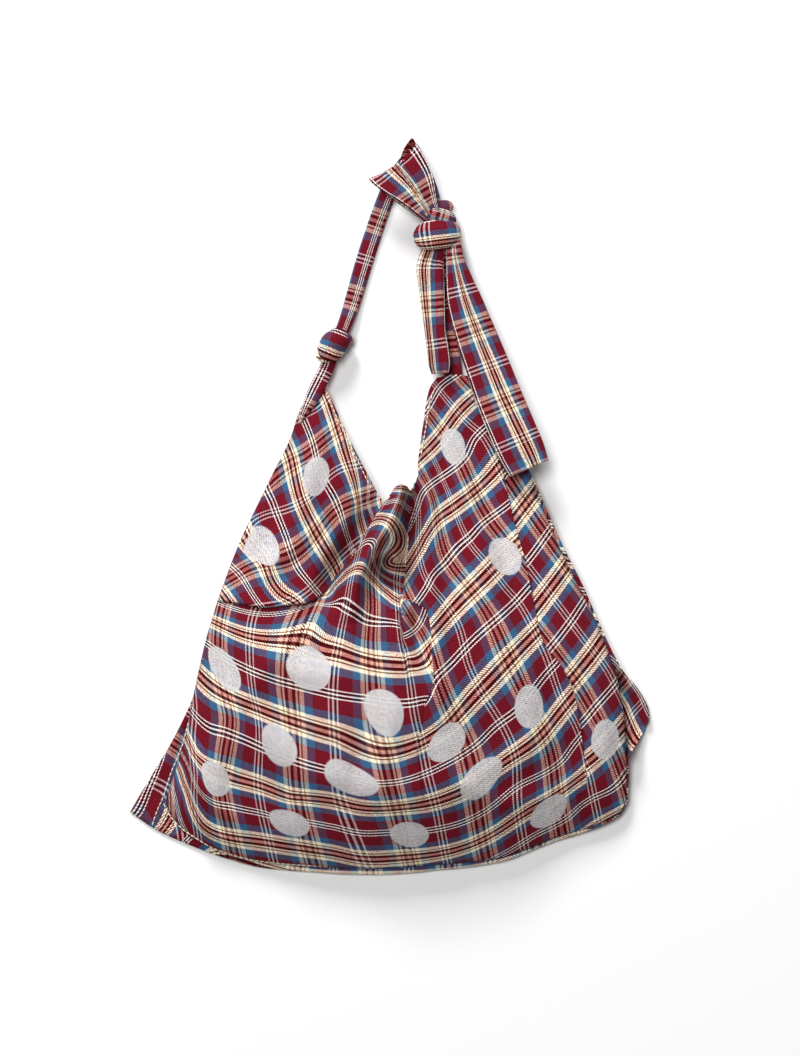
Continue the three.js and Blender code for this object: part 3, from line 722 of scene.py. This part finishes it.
# Brushed cotton flannel, yarn-dyed and twill-woven: soft, dull, with a fine nap that blurs the stripes
def brushedFlannel():
    material = bpy.data.materials.new("brushed cotton flannel")
    material.use_nodes = True
    tree = material.node_tree
    tree.nodes.clear()
    grain = addNode(tree, "ShaderNodeAttribute", {"attribute_name": "grain"}, None, (-1900, 0))
    split = addNode(tree, "ShaderNodeSeparateXYZ", None, {0: grain.outputs["Vector"]}, (-1700, 0))
    warpPlace, weftPlace, fromSpot = split.outputs[0], split.outputs[1], split.outputs[2]
    warp = stripeRamp(tree, flannel["warp"], warpPlace, (-1000, 300))
    weft = stripeRamp(tree, flannel["weft"], weftPlace, (-1000, 0))

    slant = addNode(tree, "ShaderNodeMath", {"operation": "SUBTRACT"}, {0: warpPlace, 1: weftPlace},
                    (-1500, -300))
    turns = addNode(tree, "ShaderNodeMath", {"operation": "MULTIPLY"},
                    {0: slant.outputs[0], 1: 2 * math.pi / flannel["twill"]}, (-1300, -300))
    wave = addNode(tree, "ShaderNodeMath", {"operation": "SINE"}, {0: turns.outputs[0]}, (-1100, -300))
    twilled = addNode(tree, "ShaderNodeMath", {"operation": "MULTIPLY_ADD"},
                      {0: wave.outputs[0], 1: flannel["twillContrast"], 2: flannel["weftShare"]},
                      (-900, -300))
    fibres = addNode(tree, "ShaderNodeTexNoise", None,
                     {"Vector": grain.outputs["Vector"], "Scale": 1 / flannel["fibre"],
                      "Detail": flannel["fibreDetail"], "Roughness": flannel["fibreRoughness"]},
                     (-1100, -600))
    speckle = addNode(tree, "ShaderNodeMath", {"operation": "MULTIPLY_ADD"},
                      {0: fibres.outputs[0], 1: flannel["speckle"], 2: -flannel["speckle"] / 2},
                      (-900, -600))
    woven = addNode(tree, "ShaderNodeMath", {"operation": "ADD"},
                    {0: twilled.outputs[0], 1: speckle.outputs[0]}, (-700, -300))
    pull = addNode(tree, "ShaderNodeMath", {"operation": "SUBTRACT"},
                   {0: weft.outputs["Alpha"], 1: warp.outputs["Alpha"]}, (-700, -100))
    over = addNode(tree, "ShaderNodeMath", {"operation": "ADD", "use_clamp": True},
                   {0: woven.outputs[0], 1: pull.outputs[0]}, (-500, -200))
    # Warp and weft threads are too small to see one by one, so they are mixed as the eye takes them
    warpSeen = addNode(tree, "ShaderNodeGamma", None, {0: warp.outputs[0], 1: 1 / flannel["mixGamma"]},
                       (-700, 300))
    weftSeen = addNode(tree, "ShaderNodeGamma", None, {0: weft.outputs[0], 1: 1 / flannel["mixGamma"]},
                       (-700, 100))
    mixed = addNode(tree, "ShaderNodeMix", {"data_type": "RGBA"},
                    {0: over.outputs[0], 6: warpSeen.outputs[0], 7: weftSeen.outputs[0]}, (-300, 150))
    plaid = addNode(tree, "ShaderNodeGamma", None, {0: mixed.outputs[2], 1: flannel["mixGamma"]},
                    (-100, 150))

    # The third part of the grain is the distance to the middle of the nearest spot
    inked = addNode(tree, "ShaderNodeMapRange", None,
                    {"Value": fromSpot, "From Min": spots["radius"] + spots["edge"],
                     "From Max": spots["radius"] - spots["edge"], "To Max": spots["cover"]}, (-500, 700))
    flecks = addNode(tree, "ShaderNodeMapRange", None,
                     {"Value": fibres.outputs[0], "From Min": spots["flecks"][0],
                      "From Max": spots["flecks"][1]}, (-500, 500))
    heather = addNode(tree, "ShaderNodeMix", {"data_type": "RGBA"},
                      {0: flecks.outputs[0], 6: linearColor(spots["light"]),
                       7: linearColor(spots["dark"])}, (-300, 500))
    surface = addNode(tree, "ShaderNodeMix", {"data_type": "RGBA"},
                      {0: inked.outputs[0], 6: plaid.outputs[0], 7: heather.outputs[2]}, (50, 200))

    # Painted light and shade of the weave: the colour is scaled up where the twill yarns stand raised and
    # down where they sink, and the fibre noise adds uneven tone
    shade = addNode(tree, "ShaderNodeMapRange", None,
                    {"Value": woven.outputs[0], "From Min": flannel["weave"][0],
                     "From Max": flannel["weave"][1], "To Min": flannel["weaveShade"][0],
                     "To Max": flannel["weaveShade"][1]}, (-100, -200))
    shaded = addNode(tree, "ShaderNodeVectorMath", {"operation": "SCALE"},
                     {0: surface.outputs[2], "Scale": shade.outputs[0]}, (250, 150))
    nap = addNode(tree, "ShaderNodeBump", None,
                  {"Strength": flannel["napStrength"], "Distance": flannel["napDepth"] * metre,
                   "Height": woven.outputs[0]}, (250, -300))
    cloth = addNode(tree, "ShaderNodeBsdfPrincipled", None,
                    {"Base Color": shaded.outputs[0], "Roughness": flannel["roughness"],
                     "Specular IOR Level": flannel["specular"], "Sheen Weight": flannel["sheen"],
                     "Sheen Roughness": flannel["sheenRoughness"], "Normal": nap.outputs[0]}, (450, 0))
    addNode(tree, "ShaderNodeOutputMaterial", None, {0: cloth.outputs[0]}, (750, 0))
    return material


threadLook = {
    "color": "#efe4cc", "roughness": 0.6, "length": 4.6, "gap": 0.7, "radius": 0.6, "lift": 1.2, "sides": 6,
    # One stitch from end to end: share of its length, share of its radius, and rise in mm
    "shape": [(0.0, 0.35, -0.6), (0.2, 0.9, 0.0), (0.5, 1.0, 0.25), (0.8, 0.9, 0.0), (1.0, 0.35, -0.6)],
    "lineSteps": 200,
    # The seams: right, down and height in mm; rows without a height lie on the front panel
    "rows": {
        "left side": [(189, 722, 15), (184, 741, 13.5), (178, 757, 12), (172, 771, 10.5), (167, 786, 9),
                      (163, 798, 8), (158, 809, 5.5), (154, 820, 4), (152, 827, 3.2)],
        "bottom": [(164, 803, 8), (169, 813, 7.5), (176, 822, 7.5), (184, 829.5, 7.5), (196, 837.5, 7.5),
                   (211, 846.5, 7.5), (228, 853, 7.5), (250, 859, 7.5), (280, 863, 7.5), (310, 865.2, 7.5),
                   (345, 866.6, 7.5), (380, 867.2, 7.5)],
        "left mouth": [(326, 396), (332, 407), (340, 424), (348, 441), (358, 461), (366, 478), (373, 492)],
        "right mouth": [(421, 455), (424, 438), (427, 420), (430, 402), (435, 388)],
    },
}


# Cotton sewing thread: plain cream that reads as one thick thread, a little smoother than the cloth
def sewingThread():
    material = bpy.data.materials.new("cotton sewing thread")
    material.use_nodes = True
    shader = material.node_tree.nodes["Principled BSDF"]
    shader.inputs["Base Color"].default_value = linearColor(threadLook["color"])
    shader.inputs["Roughness"].default_value = threadLook["roughness"]
    return material


# A row of stitches: short spindles of thread that dip into the cloth at both ends
def stitchRow(rows, panel):
    line = fineLine(fromView(rows), threadLook["lineSteps"])
    if len(rows[0]) == 2:
        line = np.column_stack([line, [surfaceBelow(panel, x, y).z for x, y in line]])
    ways = np.gradient(line[:, :2], axis=0)
    ways /= np.linalg.norm(ways, axis=1)[:, None]
    at = np.concatenate([[0], np.cumsum(np.linalg.norm(np.diff(line, axis=0), axis=1))])
    columns = np.column_stack([line, ways]).T
    length, sides = threadLook["length"], threadLook["sides"]
    turns = np.arange(sides) * math.pi / (sides / 2)
    points, faces = [], []
    for begin in np.arange(0, at[-1] - length, length + threadLook["gap"]):
        start = len(points)
        for share, thick, rise in threadLook["shape"]:
            x, y, z, wayX, wayY = [np.interp(begin + share * length, at, column) for column in columns]
            side = thick * threadLook["radius"] * np.cos(turns)
            up = z + threadLook["lift"] + rise + thick * threadLook["radius"] * np.sin(turns)
            points.extend(np.column_stack([x - wayY * side, y + wayX * side, up]).tolist())
        for ring in range(start, len(points) - sides, sides):
            for i in range(sides):
                after = ring + (i + 1) % sides
                faces.append((ring + i, after, after + sides, ring + i + sides))
        faces.append(tuple(range(start, start + sides))[::-1])
        faces.append(tuple(range(len(points) - sides, len(points))))
    return points, faces, [(0, 0, unprinted)] * len(points)


flannelCloth = brushedFlannel()
threadCotton = sewingThread()
print("materials made: brushed cotton flannel, cotton sewing thread")

threads = makeThreads()
points, faces, grain = makeFrontPanel(threads)
frontPanel = makeMesh("flannel_front_panel", points, faces, grain, clothThickness)
frontPanel.data.materials.append(flannelCloth)
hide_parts("front_panel")
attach(frontPanel, "root")

panelTop = BVHTree.FromPolygons(points.tolist(), faces)
stitches = makeMesh("cotton_seam_stitches",
                    *joinShells([stitchRow(rows, panelTop) for rows in threadLook["rows"].values()]))
stitches.data.materials.append(threadCotton)
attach(stitches, "root")
print("front panel laid in its folds:", len(faces), "faces")


# The back panel: flat on the surface, its corners stand out as ears

backOutline = {          # right, down and, where the rim is sewn, height; mm
    "left": [(130, 812, 0.6), (150, 778, 1.5), (170, 745, 3), (191, 704, 8), (199, 680, 12), (207, 640, 15),
             (223, 590, 15), (243, 538, 13), (267, 488, 9), (284, 455, 5), (298, 420, 1.5), (311, 392, 0.6)],
    "right": [(627, 800, 7), (628, 775, 9), (629, 752, 9), (640, 736, 7), (649, 713, 6), (637, 688, 8),
              (620, 668, 10), (603, 634, 12), (583, 588, 13), (563, 548, 13), (547, 513, 12),
              (532, 478, 10), (510, 435, 8), (490, 402, 4), (471, 378, 2)],
    "bottom": [(130, 812, 0.6), (157, 830, 1), (183, 842, 1.5), (220, 856, 2), (260, 867, 2), (320, 872, 2),
               (380, 874, 2), (440, 869, 2), (500, 861, 2), (545, 844, 3), (590, 829, 4), (618, 815, 6),
               (627, 800, 7)],
    "mouth": [(311, 392), (325, 393), (331, 408), (346, 444), (364, 479), (384, 510), (404, 516), (417, 502),
              (425, 470), (429, 440), (433, 418), (436, 399), (441, 382), (456, 377), (471, 378)],
}
backFolds = [            # name, kind, height and width in mm, and the line in the view
    ("left ear edge", "ridge", 2.5, 5, [(190, 712), (166, 760), (140, 806)]),
    ("left ear hollow", "ridge", 2, 7, [(196, 730), (186, 770), (172, 815)]),
    ("right ear edge", "ridge", 5, 4, [(614, 662), (628, 681), (640, 698), (647, 716)]),
    ("right ear valley", "ridge", -8, 3.5, [(610, 662), (619, 684), (627, 704), (636, 726), (641, 738)]),
    ("right ear ridge", "ridge", 5, 3, [(612, 682), (621, 700), (629, 720), (633, 742)]),
    ("right ear second valley", "ridge", -7, 3, [(612, 694), (618, 712), (622, 736)]),
    ("right ear notch", "ridge", -5, 2.5, [(634, 718), (641, 726), (650, 732)]),
    ("right ear low", "ridge", 5, 3.5, [(620, 765), (633, 745), (642, 730)]),
]
backLook = {
    "lowest": 0.5,           # mm from the floor to its underside
    "rimReach": 0.2,         # share of the width, and of half the height, where the rim comes down
    "foldEnds": 0.04,        # share of a fold's line at each end where its height stays level
    "seamDrop": 2.6,         # mm from the top of the front panel's rim to the underside of this one's
    "sewn": (4, 10),         # mm between the two rims: sewn together up to the first, free past the second
    "columns": 120, "rows": 110,
}


# The rim is sewn to the front panel wherever the two lie over each other; only the ears stand free
def sewnRim(rim, front):
    rim = rim.copy()
    for k, (x, y, z) in enumerate(rim):
        gaps = np.hypot(front[:, 0] - x, front[:, 1] - y)
        nearest = np.argmin(gaps)
        sewn = 1 - smoothStep(*backLook["sewn"], gaps[nearest])
        rim[k, 2] = z + (max(front[nearest, 2] - backLook["seamDrop"], z) - z) * sewn
    return rim


def makeBackPanel(threads, front):
    columns, rows = backLook["columns"], backLook["rows"]
    upShares, acrossShares = np.linspace(0, 1, rows + 1), np.linspace(0, 1, columns + 1)
    left = sewnRim(smoothCurve(fromView(backOutline["left"]), upShares), front)
    right = sewnRim(smoothCurve(fromView(backOutline["right"]), upShares), front)
    bottom = sewnRim(smoothCurve(fromView(backOutline["bottom"]), acrossShares), front)
    mouth = smoothCurve(fromView(backOutline["mouth"]), acrossShares)
    grid = patch(bottom[:, :2], mouth, left[:, :2], right[:, :2])
    s, t = np.meshgrid(acrossShares, upShares)

    def curl(distance):
        return np.clip(1 - distance / backLook["rimReach"], 0, None) ** 2

    sides = left[:, 2][:, None] * curl(s) + right[:, 2][:, None] * curl(1 - s)
    rim = np.maximum(np.maximum(sides, bottom[:, 2][None] * curl(2 * t)), backLook["lowest"])
    flat = grid.reshape(-1, 2)
    rise = rim.ravel() + foldHeight(flat, backFolds, backLook["foldEnds"])
    height = np.maximum(rise, backLook["lowest"]) + clothThickness
    grain = np.column_stack([readThreads(threads, "back", flat), np.full(len(flat), unprinted)])
    return np.column_stack([flat, height]), gridFaces(rows, columns), grain


points, faces, grain = makeBackPanel(threads, np.array(points))
backPanel = makeMesh("flannel_back_panel", points, faces, grain, clothThickness)
backPanel.data.materials.append(flannelCloth)
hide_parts("back_panel")
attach(backPanel, "root")
print("back panel laid:", len(faces), "faces")


# The ties

# Each band of cloth in a tie has rows of stations: right, down, height, width in mm and, where given, the
# way of the width in degrees from straight right and how many degrees it stands on edge. The rest is what it
# shows: thickness and crown in mm, thread lines across its width (place from -1 to 1 and mm of cloth) at its
# start and, where they differ, its end, the thread line that it starts on, and how its section bends (place
# and rise). A turn in a knot has its middle instead of rows: right, down and height.
leftTie = {
    "strap end": {
        "rows": [(300, 424, 13.5, 3), (305.5, 412, 15.5, 9), (313, 397, 16.0, 14), (321.5, 380, 14.0, 15),
                 (328, 366, 12.5, 14), (334, 350, 12, 13)],
        "thick": 3.0, "crown": 1.4, "start": 26, "across": [(-1, 13.5), (1, -5.5)],
        "bend": [(-1, 0), (0.3, 0.5), (0.5, -0.3), (1, 0)],
    },
    "strap": {
        "rows": [(334, 350, 12, 13), (345, 324, 10, 14), (353, 300, 5.5, 16), (365, 259, 4, 17),
                 (381, 211, 4.5, 17, 160, 8), (394, 178, 8, 17, 160, 40), (405, 156, 11, 14, 150, 74),
                 (410.5, 145.5, 12, 12, 120, 82), (416, 146, 12, 12, 50, 82), (421, 158, 12, 13, 20, 70),
                 (428, 180, 12, 15, 10, 40), (434, 204, 14, 14, 0, 8), (436, 221, 17, 14, 0),
                 (436, 238, 18, 16, 0)],
        "thick": 3.0, "crown": 1.6, "start": -16, "across": [(-1, 12), (1, -22)],
        "bend": [(-1, 0), (-0.35, 0.5), (-0.2, -0.3), (1, 0)],
    },
    "short tail": {
        "rows": [(436, 238, 18, 16, 5), (432.5, 254, 19, 23, 12), (430, 268, 21, 27, 20),
                 (431, 285, 22, 26, 20), (432.2, 300, 23, 24.5, 20), (435, 332, 25, 21, 22),
                 (438, 352, 26, 22, 27), (439.5, 366, 26, 22, 31), (440, 374, 25, 18, 33)],
        "thick": 2.2, "crown": 1.2, "start": -28,
        "across": [(-1, 56), (-0.31, 40), (0.0, 31), (0.15, 27), (0.46, 19), (1, 5)],
        "acrossEnd": [(-1, 46), (-0.73, 40), (-0.45, 31), (-0.36, 27), (-0.2, 19), (1, 2)],
        "bend": [(-1, 0.4), (-0.75, 2.2), (-0.42, -2.2), (-0.1, 1.6), (0.3, -2.4), (0.68, 2.2), (1, -0.8)],
    },
    # The overhand knot near the bag: one wide turn whose rows run across, and two small bulges of the strap
    "knot, wide turn": {
        "middle": (334.0, 345.5, 13.0), "axis": 60, "reach": 8.5, "deep": 10.5, "width": 34, "slant": 3,
        "thick": 4, "crown": 3.4, "start": -36,
        "across": [(-1, 45), (-0.31, 29), (0.1, 19), (0.8, 2), (1, -3)],
        "bend": [(-1, 0), (-0.6, 0.8), (-0.45, -0.8), (0, 0.6), (0.6, 0.8), (0.72, -0.6), (1, 0)],
    },
    "knot, upper bulge": {
        "middle": (344.5, 337.5, 12.0), "axis": 35, "reach": 6.5, "deep": 8, "width": 11, "slant": 2,
        "thick": 3, "crown": 2.5, "start": 6, "across": [(-1, 24), (1, 8)], "bend": [(-1, 0), (1, 0)],
    },
    "knot, lower bulge": {
        "middle": (324.5, 357.5, 11.0), "axis": 75, "reach": 5.0, "deep": 8.5, "width": 11, "slant": 0,
        "thick": 3, "crown": 2, "start": 20, "across": [(-1, 34), (1, 27)], "bend": [(-1, 0), (1, 0)],
    },
}
rightTie = {
    "hidden strap": {
        "rows": [(452, 394, 7.5, 24), (453, 374, 7.6, 18), (451, 346, 7, 16), (447, 306, 6, 15),
                 (443, 271, 8, 15), (438, 244, 10, 15)],
        "thick": 3.0, "crown": 1.2, "start": -10, "across": [(-1, 6), (1, 18)], "bend": [(-1, 0), (1, 0)],
    },
    "long tail": {
        "rows": [(449, 236, 22, 12, 28), (453, 245, 25, 15, 28), (454.5, 258, 27, 17, 28),
                 (457.5, 274, 27, 23, 28), (464, 301, 27, 34, 28), (477, 340, 29, 41, 28),
                 (488, 370, 32, 44, 28), (498.5, 399, 36, 46, 28), (515, 439, 40, 47, 28),
                 (522, 455, 40, 46, 28), (528, 469, 40, 42, 28)],
        "thick": 2.2, "crown": 1.0, "start": 22,
        "across": [(-1, 4), (-0.9, 6), (-0.45, 19), (-0.25, 27), (0, 40), (0.2, 53), (0.35, 61), (1, 76)],
        "acrossEnd": [(-1, -2.5), (-0.94, 0), (-0.4, 19), (-0.06, 27), (0.37, 40), (0.65, 53), (0.8, 61),
                      (1, 68)],
        "bend": [(-1, -0.8), (-0.86, 0.9), (-0.4, -0.4), (0, 1.2), (0.3, -0.7), (0.7, 0.9), (1, -0.6)],
    },
    "bow loop": {
        "rows": [(434, 220, 29, 14, 18), (426, 208, 33, 24, 30), (412, 186, 36, 46, 34),
                 (399, 171, 35, 57, 34), (393.2, 164.5, 31, 59, 33.5), (398, 170, 27, 57, 34),
                 (411, 188, 26, 46, 32), (425, 209, 25, 26, 30), (436, 222, 23, 16, 18)],
        "thick": 2.0, "crown": 3.0, "start": -66,
        "across": [(-1, 1), (0.09, 46), (0.13, 60), (0.85, 80), (1, 85)],
        "bend": [(-1, 0), (-0.6, 1.4), (-0.25, 0.6), (0.02, 2.8), (0.12, -2.0), (0.45, 0.8), (1, -1)],
    },
    # The inner corner of the loop's fold, which shows past it at the top
    "loop corner": {
        "rows": [(412, 140.5, 30, 2, 12), (411.8, 145, 29, 8, 12), (411, 152, 28, 15, 12),
                 (410, 162, 26, 20, 18)],
        "thick": 1.6, "crown": 0.6, "start": 34, "across": [(-1, 34.8), (0.8, 37.8), (1, 38.5)],
        "bend": [(-1, 0), (1, 0)],
    },
    # The bow's knot: the main turn, a narrow one over it towards the loop, and the strap's bend behind
    "knot, main turn": {
        "middle": (437, 236, 18.0), "axis": 97, "reach": 17.5, "deep": 12, "width": 29, "slant": 0,
        "thick": 4, "crown": 4, "start": -18.5,
        "across": [(-1, 50), (-0.5, 38), (-0.22, 31), (-0.1, 27.5), (0.3, 19), (1, 3)],
        "bend": [(-1, 0), (-0.4, 0.8), (-0.1, -0.6), (0.3, 0.8), (1, 0)],
    },
    "knot, narrow turn": {
        "middle": (439, 217, 18.5), "axis": 78, "reach": 13.5, "deep": 9.5, "width": 15, "slant": -1.5,
        "thick": 3.5, "crown": 3, "start": 22, "across": [(-1, 29), (-0.5, 25), (0.2, 8), (1, -6)],
        "bend": [(-1, 0), (-0.5, 0.8), (-0.35, -0.6), (1, 0)],
    },
    "knot, bend behind": {
        "middle": (441.5, 208.5, 14), "axis": 95, "reach": 8.5, "deep": 6.5, "width": 14, "slant": 0,
        "thick": 3, "crown": 2, "start": 6, "across": [(-1, 8), (1, 18)], "bend": [(-1, 0), (1, 0)],
    },
}
tieLook = {
    "step": 2.5,             # mm from one section of a band to the next
    "half": 14,              # faces across each side of a band
    "edgePower": 6,          # how square its edges are
    "turnFrom": 205, "turnTo": -25, "turnSteps": 30,  # degrees of a turn in a knot
    "taper": 0.35,           # how soon a turn gets narrower away from its top
}


# The middle line of a band, the way of its width and the width at even steps
def tiePath(rows):
    stations = []
    for k, row in enumerate(rows):
        x, y, z, width = row[:4]
        before, after = rows[max(k - 1, 0)], rows[min(k + 1, len(rows) - 1)]
        heading = math.atan2(before[1] - after[1], after[0] - before[0])
        angle = math.radians(row[4]) if len(row) > 4 else heading + math.pi / 2
        tip = math.radians(row[5]) if len(row) > 5 else 0
        stations.append((x, y, z, width, math.cos(angle) * math.cos(tip), math.sin(angle) * math.cos(tip),
                         math.sin(tip)))
    stations = fromView(stations)
    length = np.linalg.norm(np.diff(stations[:, :3], axis=0), axis=1).sum()
    line = smoothCurve(stations, np.linspace(0, 1, int(length / tieLook["step"]) + 1))
    return line[:, :3], line[:, 4:7], line[:, 3]


# A flat tube of cloth along a path: its section is rounded at both edges and bends as its look says
def ribbon(path, ways, widths, look):
    half = tieLook["half"]
    tangents = np.gradient(path, axis=0)
    tangents /= np.linalg.norm(tangents, axis=1)[:, None]
    ways = ways - (ways * tangents).sum(axis=1)[:, None] * tangents
    ways /= np.linalg.norm(ways, axis=1)[:, None]
    normals = np.cross(tangents, ways)
    along = look["start"] + np.concatenate([[0], np.cumsum(np.linalg.norm(np.diff(path, axis=0), axis=1))])
    up = -np.cos(np.pi * np.arange(half + 1) / half)
    places = np.concatenate([up, up[-2:0:-1]])
    face = np.concatenate([np.ones(half + 1), -np.ones(half - 1)])
    body = np.sqrt(np.clip(1 - places ** tieLook["edgePower"], 0, 1)) * face * look["thick"] / 2
    rise = body + look["crown"] * (1 - places ** 2) + profile(look["bend"], places)
    measure = profile(look["across"], places)
    lastMeasure = profile(look.get("acrossEnd", look["across"]), places)
    points, grain, faces = [], [], []
    ring = len(places)
    for k in range(len(path)):
        section = path[k] + np.outer(places * widths[k] / 2, ways[k]) + np.outer(rise, normals[k])
        points.extend(section.tolist())
        share = k / (len(path) - 1)
        for place in measure + (lastMeasure - measure) * share:
            grain.append((along[k], place, unprinted))
    for k in range(len(path) - 1):
        for i in range(ring):
            here, after = k * ring + i, k * ring + (i + 1) % ring
            faces.append((here, after, after + ring, here + ring))
    last = (len(path) - 1) * ring
    faces.append(tuple(range(ring))[::-1])
    faces.append(tuple(last + i for i in range(ring)))
    return points, faces, grain


# One turn of cloth in a knot, over the top from left to right: the band's width runs along axis, in degrees
# from straight right; reach and deep are the half sizes of the turn, slant its run along the axis
def knotTurn(look):
    angles = np.radians(np.linspace(tieLook["turnFrom"], tieLook["turnTo"], tieLook["turnSteps"]))
    right, down, height = look["middle"]
    centre = np.append(fromView([(right, down)])[0], height)
    turn = math.radians(look["axis"])
    along = np.array([math.cos(turn), math.sin(turn), 0])
    across = np.array([math.sin(turn), -math.cos(turn), 0])
    share = (angles - math.pi / 2) / (math.pi / 2)
    path = (centre + np.outer(look["reach"] * np.cos(angles), across)
            + np.outer(look["deep"] * np.sin(angles), (0, 0, 1)) + np.outer(-look["slant"] * share, along))
    widths = look["width"] * (1 - tieLook["taper"] * np.abs(share) ** 3)
    return ribbon(path, np.repeat(along[None], len(path), axis=0), widths, look)


def makeTie(name, bands, node):
    shells = [ribbon(*tiePath(look["rows"]), look) if "rows" in look else knotTurn(look)
              for look in bands.values()]
    points, faces, grain = joinShells(shells)
    tie = makeMesh(name, points, faces, grain)
    tie.data.materials.append(flannelCloth)
    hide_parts(node)
    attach(tie, "root")


makeTie("flannel_left_tie", leftTie, "left_tie")
makeTie("flannel_right_tie", rightTie, "right_tie")
print("ties knotted: strap with its overhand knot, bow loop, short and long tail")


# Floor, light and camera

stageLook = {
    "paper": "#ffffff", "paperRoughness": 0.9, "paperSpecular": 0.0,
    "reach": 4.0,            # metres from the middle of the floor to its edge
    "world": 0.15,           # brightness of the room
    # Lights: place in metres, size in metres and strength in watts; the low one draws the shadow below the
    # bag. All of them look at the aim.
    "lights": [("window", (-1.2, 1.3, 5.8), 2.2, 203.0), ("low window", (-1.7, 5.8, 3.6), 1.9, 420.0)],
    "aim": (0, -0.05, 0),
    "lens": 180, "sensor": 36,  # mm
    "viewMiddle": (400, 528),   # right and down in the view
    "viewHeight": 1.056,        # metres of floor from the top of the view to its bottom
    "farthest": 50,             # metres that the camera sees
}


# Matte paper: white and without any shine, so that the shadow is all that shows on it
def mattePaper():
    material = bpy.data.materials.new("matte paper backdrop")
    material.use_nodes = True
    shader = material.node_tree.nodes["Principled BSDF"]
    shader.inputs["Base Color"].default_value = linearColor(stageLook["paper"])
    shader.inputs["Roughness"].default_value = stageLook["paperRoughness"]
    shader.inputs["Specular IOR Level"].default_value = stageLook["paperSpecular"]
    return material


def makeFloor():
    reach = stageLook["reach"]
    corners = [(-reach, -reach, 0), (reach, -reach, 0), (reach, reach, 0), (-reach, reach, 0)]
    mesh = bpy.data.meshes.new("floor")
    mesh.from_pydata(corners, [], [(0, 1, 2, 3)])
    floor = bpy.data.objects.new("floor", mesh)
    bpy.context.scene.collection.objects.link(floor)
    floor.data.materials.append(mattePaper())


def makeLight():
    world = bpy.data.worlds.new("soft studio")
    world.use_nodes = True
    background = world.node_tree.nodes["Background"]
    background.inputs[0].default_value = (1, 1, 1, 1)
    background.inputs[1].default_value = stageLook["world"]
    bpy.context.scene.world = world
    for name, place, size, strength in stageLook["lights"]:
        data = bpy.data.lights.new(name, "AREA")
        data.energy = strength
        data.size = size
        light = bpy.data.objects.new(name, data)
        light.location = place
        way = Vector(stageLook["aim"]) - light.location
        light.rotation_euler = way.to_track_quat("-Z", "Y").to_euler()
        bpy.context.scene.collection.objects.link(light)


def makeCamera():
    data = bpy.data.cameras.new("camera")
    data.lens = stageLook["lens"]
    data.sensor_width = stageLook["sensor"]
    data.clip_end = stageLook["farthest"]
    camera = bpy.data.objects.new("camera", data)
    centre = fromView([stageLook["viewMiddle"]])[0] * metre
    distance = data.lens * stageLook["viewHeight"] / data.sensor_width
    camera.location = (centre[0], centre[1], distance)
    bpy.context.scene.collection.objects.link(camera)
    bpy.context.scene.camera = camera


makeFloor()
makeLight()
makeCamera()
bpy.context.scene.view_settings.view_transform = "Standard"
print("stage set: pale floor, soft light, camera")
